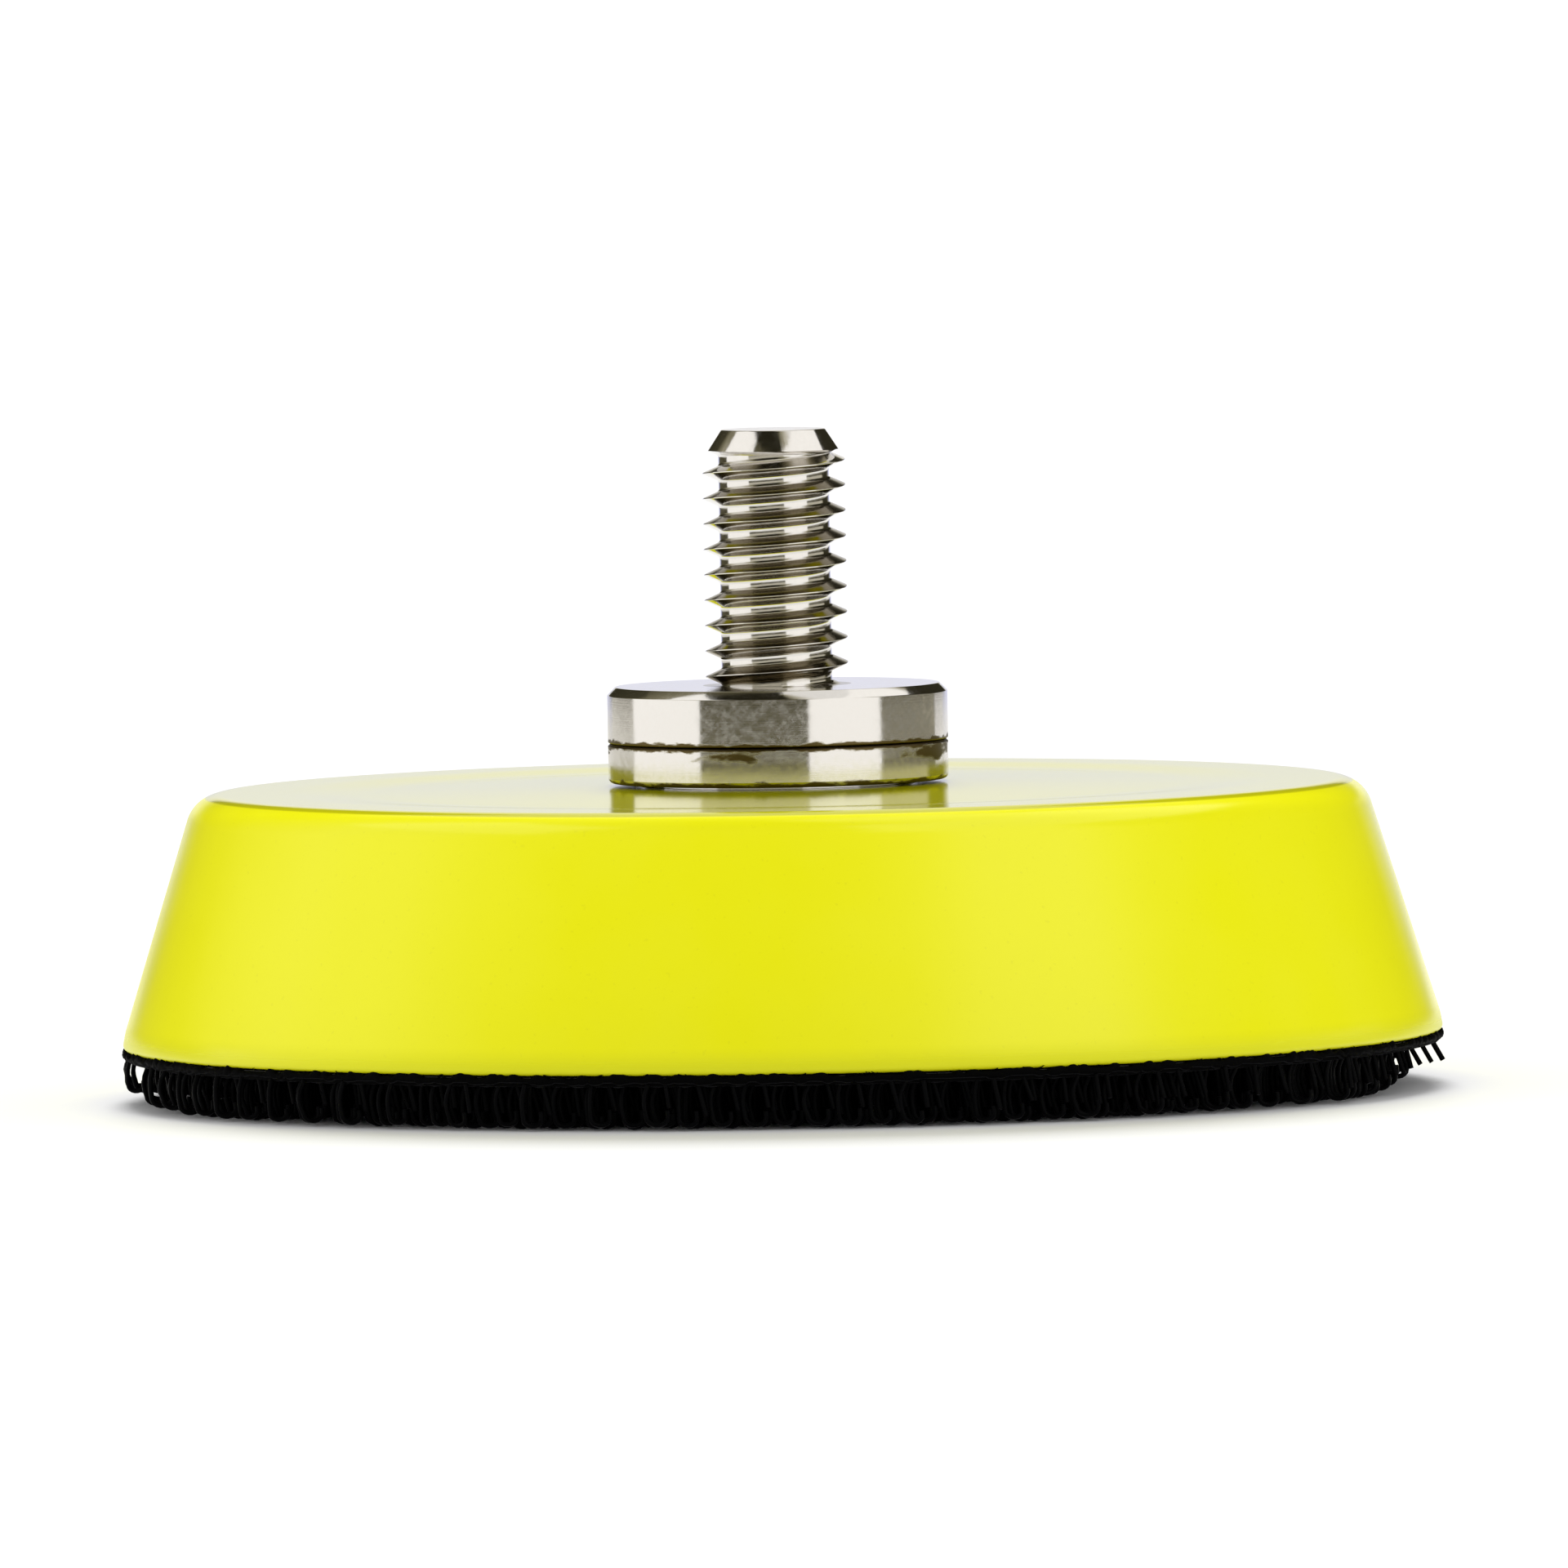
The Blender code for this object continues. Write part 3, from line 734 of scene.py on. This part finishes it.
def ring_and_insert(material):
    """The insert: the visible ring, the neck and flange inside the body, and the boss round the shank."""
    socket = THREAD_RADIUS + CLEARANCE
    socket_end = BOSS_BOTTOM + BOSS_END_WALL
    ring_foot = (HUB_RADIUS, RING_BOTTOM)
    outline = [
        (0, socket_end),
        (socket, socket_end),
        (socket, RING_TOP),
        (HUB_RADIUS - RING_TOP_CHAMFER, RING_TOP),
        (HUB_RADIUS, RING_TOP - RING_TOP_CHAMFER),
        *rounded((HUB_RADIUS, RING_TOP), ring_foot, (NECK_RADIUS, RING_BOTTOM), RING_FOOT_RADIUS, 8),
        (NECK_RADIUS, RING_BOTTOM),
        (NECK_RADIUS, FLANGE_TOP),
        (FLANGE_RADIUS, FLANGE_TOP),
        (FLANGE_RADIUS, FLANGE_BOTTOM),
        (BOSS_RADIUS, FLANGE_BOTTOM),
        (BOSS_RADIUS, BOSS_BOTTOM),
        (0, BOSS_BOTTOM),
    ]
    insert = turned("ring_and_insert", outline, 192)
    through = (FLANGE_BOTTOM - MM, FLANGE_TOP + MM)
    holes = posts("holes", RIVET_COUNT, RIVET_CIRCLE_RADIUS, RIVET_HOLE_RADIUS, *through)
    combine(insert, holes, "DIFFERENCE")
    polish(insert, 28)
    dress(insert, material)
    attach(insert, "hub")
    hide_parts("hub_insert")


# ---------------------------------------------------------------- body


def ease(share):
    """A smooth step from 0 at share 0 to 1 at share 1."""
    return (1 - math.cos(math.pi * min(max(share, 0.0), 1.0))) / 2


def top_height(radius):
    """The top of the body: a slight crown at the hub, a dish round it and a level rim."""
    crown = CROWN_RISE * max(1 - (radius - CROWN_RADIUS) / (DISH_RADIUS - CROWN_RADIUS), 0)
    dish = DISH_DROP * (1 - ease((radius - DISH_RADIUS) / (DISH_EDGE_RADIUS - DISH_RADIUS)))
    return RIM + crown - dish


def moulded_body(material):
    """The polyurethane body, hollow only where the insert, the plate and the rivets sit."""
    shoulder = (SHOULDER_RADIUS, RIM)
    land_top = (LAND_TOP_RADIUS, BODY_BOTTOM + LAND_HEIGHT)
    base = (BASE_RADIUS, BODY_BOTTOM)
    neck = NECK_RADIUS + CLEARANCE
    roof = RIVET_HIGH[2] + BOND_GAP
    cellar = RIVET_LOW[2] - BOND_GAP
    top_radii = np.linspace(CROWN_RADIUS, DISH_EDGE_RADIUS + 0.4 * MM, 44)
    outline = [
        (0, cellar),
        (PLATE_RADIUS + CLEARANCE, cellar),
        (PLATE_RADIUS + CLEARANCE, PLATE_TOP + CLEARANCE),
        (FLANGE_RADIUS + CLEARANCE, PLATE_TOP + CLEARANCE),
        (FLANGE_RADIUS + CLEARANCE, roof),
        (neck, roof),
        (neck, top_height(CROWN_RADIUS)),
        *[(float(radius), top_height(radius)) for radius in top_radii],
        *rounded((DISH_EDGE_RADIUS, RIM), shoulder, land_top, SHOULDER_FILLET, 14),
        *rounded(shoulder, land_top, base, LAND_FILLET, 8),
        *rounded(land_top, base, (0, BODY_BOTTOM), LIP_FILLET, 5),
        (0, BODY_BOTTOM),
    ]
    body = turned("moulded_body", outline, 288)
    polish(body, 40)
    dress(body, material)
    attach(body, "hub")
    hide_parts("pu_body")
    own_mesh(body)


# ---------------------------------------------------------------- hook face


def tubes(paths, radii, sides):
    """Round strands along the paths, each of which lies near an upright plane. Returns points and faces."""
    points = []
    faces = []
    for path, radius in zip(paths, radii):
        path = np.asarray(path)
        along = np.gradient(path, axis=0)
        along /= np.linalg.norm(along, axis=1, keepdims=True)
        reach = path[-1] - path[0]
        level = np.array([-reach[1], reach[0], 0.0]) / max(math.hypot(reach[0], reach[1]), 1e-9)
        normals = np.cross(level, along)
        normals /= np.linalg.norm(normals, axis=1, keepdims=True)
        first = len(points)
        for centre, normal in zip(path, normals):
            for side in range(sides):
                angle = FULL_TURN * side / sides
                points.append(centre + radius * (math.cos(angle) * normal + math.sin(angle) * level))
        for ring in range(len(path) - 1):
            low = first + ring * sides
            for side in range(sides):
                nxt = (side + 1) % sides
                faces.append((low + side, low + nxt, low + sides + nxt, low + sides + side))
        last = first + (len(path) - 1) * sides
        faces.append(tuple(first + side for side in reversed(range(sides))))
        faces.append(tuple(last + side for side in range(sides)))
    return points, faces


def placed(shape, x, y, yaw, lean):
    """A strand's (across, down) points, set under the tape at a spot, turned by yaw and leaning sideways."""
    line = []
    for across, down in shape:
        side = lean * down
        east = x + across * math.cos(yaw) - side * math.sin(yaw)
        north = y + across * math.sin(yaw) + side * math.cos(yaw)
        line.append((east, north, WEAVE_BOTTOM - down))
    return line


def hook(random, height):
    """A hook: its root, a slight belly, a bend at the bottom and a short turned-up end."""
    span = random.normal(HOOK_SPAN, 0.12 * HOOK_SPAN)
    bend = span / 2
    straight = height - bend
    belly = random.normal(HOOK_BELLY, 0.06 * MM)
    shape = [(0.1 * MM, -ROOT_DEPTH), (0.04 * MM, 0.0)]
    for share in (0.25, 0.5, 0.75):
        shape.append((-belly * math.sin(math.pi * share), share * straight))
    for degrees in range(180, -1, -20):
        angle = math.radians(degrees)
        shape.append((bend * (1 + math.cos(angle)), straight + (bend - HOOK_RADIUS) * math.sin(angle)))
    shape.append((0.97 * span, straight - random.uniform(0.25 * MM, 0.45 * MM)))
    return shape


def cut_leg(length, slope):
    """The straight leg left where a loop was cut."""
    depths = (-ROOT_DEPTH, 0.35 * length, 0.7 * length, length)
    return [(LEG_OFFSET + slope * down, down) for down in depths]


def loop_at(random, x, y):
    """The two strands of one cut loop. They are shorter near the rim, the most so at the +X end."""
    rim = ease((math.hypot(x, y) - RIM_START) / (TAPE_RADIUS - RIM_START))
    worn = 0
    for side, start, length, depth in WORN_ENDS:
        worn += depth * ease((side * x - TAPE_RADIUS + start) / length)
    height = WEAVE_BOTTOM * (1 - 0.04 * random.random()) - max(RIM_WEAR * rim, worn)
    yaw = random.normal(0, 0.2)
    lean = random.normal(0, 0.08)
    left = x - HOOK_SPAN / 2
    slope = random.normal(0.22, 0.06)
    leg = cut_leg(height * random.uniform(0.5, 0.7), slope)
    return [placed(leg, left, y, yaw, lean), placed(hook(random, height), left, y, yaw, lean)]


def row_ends(y):
    """Where a row of loops starts and ends. Near the X axis all but the middle rows stop short of the rim."""
    half = math.sqrt(PILE_RADIUS**2 - y**2)
    start = -half if abs(y) < MIDDLE_ROWS else max(-half, SHORT_ROWS - PILE_RADIUS)
    return start + HOOK_SPAN / 2, min(half, PILE_RADIUS - FRAYED_END)


def frayed_stems():
    """Single slanting stems past the last loops at the +X end."""
    stems = []
    for index in range(STEM_COUNT):
        foot = TAPE_RADIUS - STEM_INSET + index * STEM_STEP - LEG_OFFSET
        stem = cut_leg(STEM_LENGTH - index * STEM_SHORTENING, STEM_SLOPE)
        stems.append(placed(stem, foot, (index - 1) * ROW_PITCH, 0.0, 0.0))
    return stems


def hook_rows(material):
    """Rows of hooks over the whole face, all facing +X, in strips so that no piece has too many faces."""
    random = np.random.default_rng(SEED)
    strips = 4
    rows = int(PILE_RADIUS / ROW_PITCH)
    strip_paths = [[] for _ in range(strips)]
    for row in range(-rows, rows + 1):
        y = row * ROW_PITCH
        first, last = row_ends(y)
        strip = min(int((y + PILE_RADIUS) / (2 * PILE_RADIUS) * strips), strips - 1)
        stagger = HOOK_PITCH * (0.22 if abs(y) < MIDDLE_ROWS else 0.5)
        for x in np.arange(first + stagger * (row % 2), last, HOOK_PITCH):
            east = x + abs(random.normal(0, 0.08 * MM))
            strip_paths[strip].extend(loop_at(random, east, y + random.normal(0, 0.06 * MM)))
    strip_paths[strips // 2].extend(frayed_stems())
    for strip, paths in enumerate(strip_paths):
        radii = random.normal(HOOK_RADIUS, 0.05 * HOOK_RADIUS, len(paths))
        points, faces = tubes(paths, radii, 8)
        name = f"hooks_{strip + 1}"
        hooks = new_object(name, mesh_from(name, points, faces))
        smooth(hooks, 60)
        dress(hooks, material)
        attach(hooks, "face")
        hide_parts("hook_pile")


def extruded_rim(work):
    """Extrudes a mesh's open edge in place, and returns the new corners."""
    rim = [edge for edge in work.edges if edge.is_boundary]
    made = bmesh.ops.extrude_edge_only(work, edges=rim)
    return [item for item in made["geom"] if isinstance(item, bmesh.types.BMVert)]


def woven_tape(material):
    """The tape's base: a plain weave seen from below, with a cut edge."""
    cell = YARN_WIDTH / 3
    count = int(2 * TAPE_RADIUS / cell) + 2
    start = -count / 2 * cell
    index_of = {}
    points = []
    faces = []
    for row in range(count + 1):
        for column in range(count + 1):
            x = start + column * cell
            y = start + row * cell
            if math.hypot(x, y) > TAPE_RADIUS - cell:
                continue
            over = math.sin(math.pi * x / YARN_WIDTH) * math.sin(math.pi * y / YARN_WIDTH)
            index_of[row, column] = len(points)
            points.append((x, y, WEAVE_BOTTOM + YARN_HEIGHT * (1 - over)))
    for row in range(count):
        for column in range(count):
            corners = [(row, column), (row + 1, column), (row + 1, column + 1), (row, column + 1)]
            if all(corner in index_of for corner in corners):
                faces.append([index_of[corner] for corner in corners])
    tape = new_object("woven_tape", mesh_from("woven_tape", points, faces))
    work = bmesh.new()
    work.from_mesh(tape.data)
    for vert in extruded_rim(work):
        outwards = Vector((vert.co.x, vert.co.y, 0)).normalized()
        vert.co = outwards * TAPE_RADIUS + Vector((0, 0, WEAVE_BOTTOM + WEAVE_EDGE))
    for vert in extruded_rim(work):
        vert.co.z = TAPE_TOP
    bmesh.ops.contextual_create(work, geom=[edge for edge in work.edges if edge.is_boundary])
    bmesh.ops.remove_doubles(work, verts=work.verts, dist=0.0005 * MM)
    bmesh.ops.recalc_face_normals(work, faces=work.faces)
    work.to_mesh(tape.data)
    work.free()
    smooth(tape, 50)
    dress(tape, material)
    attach(tape, "face")
    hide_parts("hook_tape")


def bead_profile(random, angles):
    """How far the bead rises and swells at each angle: the tallest of many bumps, each a half ellipse."""
    rise = np.zeros(len(angles))
    swell = np.zeros(len(angles))
    for narrowest, widest, tallest, number in BEAD_BUMPS:
        for _ in range(number):
            centre = random.uniform(0, FULL_TURN)
            width = random.uniform(narrowest, widest) / TAPE_RADIUS
            away = np.abs((angles - centre + math.pi) % FULL_TURN - math.pi) / width
            bump = np.sqrt(np.clip(1 - away**2, 0, 1))
            rise = np.maximum(rise, bump * random.uniform(0.25, 1.0) * tallest)
            swell = np.maximum(swell, bump * random.uniform(0.0, BEAD_SWELL))
    return rise, swell


def cut_edge(material):
    """The tape's heat-cut edge: an uneven bead of melted yarn that laps a little over the body's foot."""
    steps = BEAD_STEPS
    sides = 10
    angles = np.linspace(0, FULL_TURN, steps, endpoint=False)
    rise, swell = bead_profile(np.random.default_rng(SEED + 1), angles)
    top = BEAD_TOP + rise
    bottom = BEAD_BOTTOM - 0.5 * np.roll(rise, LOWER_BUMP_SHIFT)
    middle = BEAD_RADIUS - BEAD_HALF_WIDTH + swell
    points = []
    for angle, high, low, out in zip(angles, top, bottom, middle):
        for side in range(sides):
            turn = FULL_TURN * side / sides
            radius = out + BEAD_HALF_WIDTH * math.cos(turn)
            height = (high + low) / 2 + (high - low) / 2 * math.sin(turn)
            points.append((radius * math.cos(angle), radius * math.sin(angle), height))
    faces = []
    for step in range(steps):
        near = step * sides
        far = (step + 1) % steps * sides
        for side in range(sides):
            nxt = (side + 1) % sides
            faces.append((near + side, far + side, far + nxt, near + nxt))
    edge = new_object("tape_cut_edge", mesh_from("tape_cut_edge", points, faces))
    face_outwards(edge)
    smooth(edge, 60)
    dress(edge, material)
    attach(edge, "face")


def loose_fibres(material):
    """Short frayed fibres along the cut edge."""
    random = np.random.default_rng(SEED + 2)
    paths = []
    for _ in range(FIBRE_COUNT):
        angle = random.uniform(0, FULL_TURN)
        length = random.uniform(*FIBRE_LENGTHS)
        heading = random.uniform(-1.2, 1.2)
        climb = random.uniform(-0.5, 0.45)
        path = []
        for share in (0.0, 0.25, 0.5, 0.75, 1.0):
            out = TAPE_RADIUS + 0.1 * MM + 0.15 * MM * math.sin(math.pi * share * 0.9)
            around = angle + heading * share * length / TAPE_RADIUS
            up = TAPE_TOP + FIBRE_LIFT + climb * share * length
            path.append((out * math.cos(around), out * math.sin(around), up))
        paths.append(path)
    radii = random.uniform(*FIBRE_RADII, len(paths))
    points, faces = tubes(paths, radii, 6)
    fibres = new_object("loose_fibres", mesh_from("loose_fibres", points, faces))
    smooth(fibres, 60)
    dress(fibres, material)
    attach(fibres, "face")


# ---------------------------------------------------------------- inner pieces


def finish_node(node, material):
    """A CAD node whose shape is right keeps it, and gets its finish."""
    obj = frame["nodes"][node]
    dress(obj, material)


# ---------------------------------------------------------------- stage, light and camera


def floor():
    """A white disc. Its underside is clear, so that the hooks show from below."""
    work = bmesh.new()
    bmesh.ops.create_circle(work, cap_ends=True, segments=96, radius=FLOOR_RADIUS)
    mesh = bpy.data.meshes.new("floor")
    work.to_mesh(mesh)
    work.free()
    obj = new_object("floor", mesh)
    look = Nodes("floor_white", Roughness=0.9, Specular_IOR_Level=0.0, Base_Color=FLOOR_WHITE)
    clear = look.add("ShaderNodeBsdfTransparent")
    blend = look.add("ShaderNodeMixShader")
    look.feed(blend.inputs[0], look.add("ShaderNodeNewGeometry").outputs["Backfacing"])
    look.feed(blend.inputs[1], look.shader.outputs[0])
    look.feed(blend.inputs[2], clear.outputs[0])
    look.feed(look.tree.nodes["Material Output"].inputs[0], blend.outputs[0])
    mesh.materials.append(look.material)


def glow_colour(level, azimuth, elevation):
    """Bright parts are white and dim ones warmer. The backdrop low behind the object is cooler."""
    lowest, highest = COOL_ELEVATIONS
    if lowest < elevation < highest and abs(azimuth) > COOL_AZIMUTH:
        return (*(level * tint for tint in COOL_TINT), 1)
    share = min(level, 1)
    return (level, level * (0.9 + 0.09 * share), level * (0.5 + 0.48 * share), 1)


def reflection_dome():
    """The studio as the object's reflections see it: a glowing dome that only glossy rays meet."""
    rows = [elevation for top, _ in BANDS for elevation in (top, top + BAND_BLEND)]
    rows = [0.0, *rows[:-1]]
    levels = [stops for _, stops in BANDS for _ in range(2)]
    points = []
    glow = []
    columns = 360
    for elevation, stops in zip(rows, levels):
        flat = DOME_RADIUS * math.cos(math.radians(elevation))
        height = DOME_RADIUS * math.sin(math.radians(elevation))
        azimuths, brightness = zip(*stops)
        for column in range(columns):
            azimuth = column - 180
            turn = math.radians(azimuth)
            points.append((flat * math.sin(turn), -flat * math.cos(turn), height))
            glow.append(glow_colour(float(np.interp(azimuth, azimuths, brightness)), azimuth, elevation))
    faces = []
    for row in range(len(rows) - 1):
        for column in range(columns):
            low = row * columns + column
            nxt = row * columns + (column + 1) % columns
            faces.append((low, nxt, nxt + columns, low + columns))
    mesh = mesh_from("reflection_dome", points, faces)
    colours = mesh.color_attributes.new("glow", "FLOAT_COLOR", "POINT")
    colours.data.foreach_set("color", np.array(glow, dtype=np.float32).ravel())
    obj = new_object("reflection_dome", mesh)
    look = Nodes("dome_glow", Base_Color=(0, 0, 0, 1), Specular_IOR_Level=0.0, Emission_Strength=1.0)
    look.set("Emission Color", look.add("ShaderNodeVertexColor", layer_name="glow").outputs[0])
    look.material.cycles.emission_sampling = "NONE"
    mesh.materials.append(look.material)
    obj.visible_camera = False
    obj.visible_diffuse = False
    obj.visible_transmission = False
    obj.visible_shadow = False


def sun(name, azimuth, elevation, strength, softness):
    """A lamp that reflections don't show. Azimuth 0 is the camera's side and 90 is +X."""
    lamp = bpy.data.lights.new(name, "SUN")
    lamp.energy = strength
    lamp.angle = math.radians(softness)
    obj = bpy.data.objects.new(name, lamp)
    bpy.context.scene.collection.objects.link(obj)
    turn = math.radians(azimuth)
    lift = math.radians(elevation)
    towards = Vector((math.sin(turn) * math.cos(lift), -math.cos(turn) * math.cos(lift), math.sin(lift)))
    obj.matrix_world = towards.to_track_quat("Z", "Y").to_matrix().to_4x4()
    obj.visible_camera = False
    obj.visible_glossy = False


def light():
    """An even white world, a strong soft lamp from behind and two weak ones from the sides."""
    world = bpy.data.worlds.new("studio")
    world.use_nodes = True
    background = world.node_tree.nodes["Background"]
    background.inputs["Color"].default_value = (1, 1, 1, 1)
    background.inputs["Strength"].default_value = WORLD_BRIGHTNESS
    world.cycles_visibility.glossy = False
    bpy.context.scene.world = world
    for lamp in LAMPS:
        sun(*lamp)


def camera():
    """A long lens just above the table, in front of the object, turned a little to match the photo's tilt."""
    data = bpy.data.cameras.new("camera")
    obj = bpy.data.objects.new("camera", data)
    bpy.context.scene.collection.objects.link(obj)
    elevation = math.radians(CAMERA_ELEVATION)
    back = Vector((0, -math.cos(elevation), math.sin(elevation)))
    obj.location = AIM + back * CAMERA_DISTANCE
    facing = (-back).to_track_quat("-Z", "Y").to_matrix().to_4x4()
    roll = Matrix.Rotation(math.radians(-CAMERA_ROLL), 4, "Z")
    obj.matrix_world = Matrix.Translation(obj.location) @ facing @ roll
    data.lens = data.sensor_width * CAMERA_DISTANCE / VIEW_WIDTH
    data.clip_start = 0.01
    data.clip_end = 20.0
    bpy.context.scene.camera = obj


def build():
    steel = polished_steel()
    nylon = black_nylon()
    weave = black_weave()
    stud_and_collar(steel)
    ring_and_insert(steel)
    moulded_body(yellow_polyurethane())
    woven_tape(weave)
    cut_edge(weave)
    loose_fibres(weave)
    hook_rows(nylon)
    finish_node("reinforcement_plate", glass_laminate())
    zinc = rivet_steel()
    for node in frame["nodes"]:
        if node.startswith("hub_rivet"):
            finish_node(node, zinc)
    finish_node("adhesive_disc", cured_adhesive())
    floor()
    reflection_dome()
    light()
    camera()
    bpy.context.scene.view_settings.view_transform = "Standard"


build()
